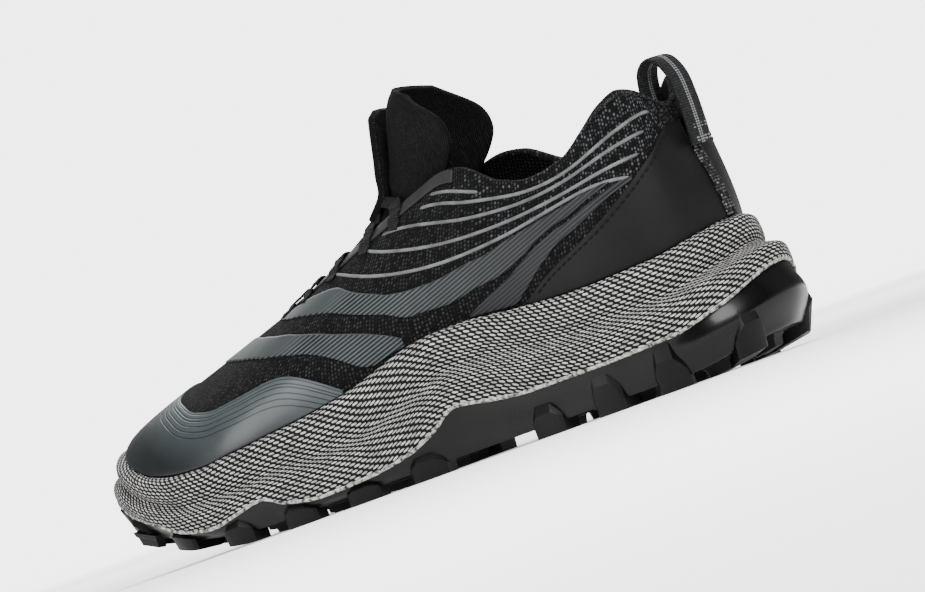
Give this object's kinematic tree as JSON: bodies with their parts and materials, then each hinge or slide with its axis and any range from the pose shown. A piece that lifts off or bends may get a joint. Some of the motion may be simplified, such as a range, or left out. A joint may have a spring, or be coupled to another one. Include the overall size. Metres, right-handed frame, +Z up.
{
  "type": "trail running shoe",
  "caption": "Left trail running shoe: lugged rubber sole, sculpted foam midsole, knitted hollow upper, laces and heel loop.",
  "frame": {"origin": "middle of the shoe's box, on the ground under the sole", "axes": "toe towards -Y, heel towards +Y, wearer's left (lateral side) towards +X, +Z up"},
  "size_m": [0.115, 0.306, 0.1419],
  "materials": {
    "rubber": "moulded rubber, satin, glossy at the heel corner",
    "foam": "foam under a woven wrap of light flecks on black",
    "knit": "ribbed polyester knit with raised grey bands",
    "toe_film": "moulded film, satin, with contour lines",
    "synthetic_leather": "smooth black synthetic leather, soft sheen",
    "binding": "smooth grey-black tape",
    "sock_liner": "brushed cloth on foam",
    "tongue_cloth": "black stretch knit",
    "lace_cord": "flat woven polyester",
    "webbing": "narrow woven webbing with a grey stitch line"
  },
  "bodies": {
    "root": {"outsole": "rubber", "midsole": "foam", "upper": "knit", "toe_cap": "toe_film", "heel_counter_lateral": "synthetic_leather", "heel_counter_medial": "synthetic_leather", "throat_binding": "binding", "insole": "sock_liner", "tongue": "tongue_cloth", "lace": "lace_cord", "pull_tab": "webbing", "back_strip": "webbing", "lace_loop_lateral_1": "webbing", "lace_loop_lateral_2": "webbing", "lace_loop_lateral_3": "webbing", "lace_loop_lateral_4": "webbing", "lace_loop_lateral_5": "webbing", "lace_loop_medial_1": "webbing", "lace_loop_medial_2": "webbing", "lace_loop_medial_3": "webbing", "lace_loop_medial_4": "webbing", "lace_loop_medial_5": "webbing"}
  },
  "joints": []
}
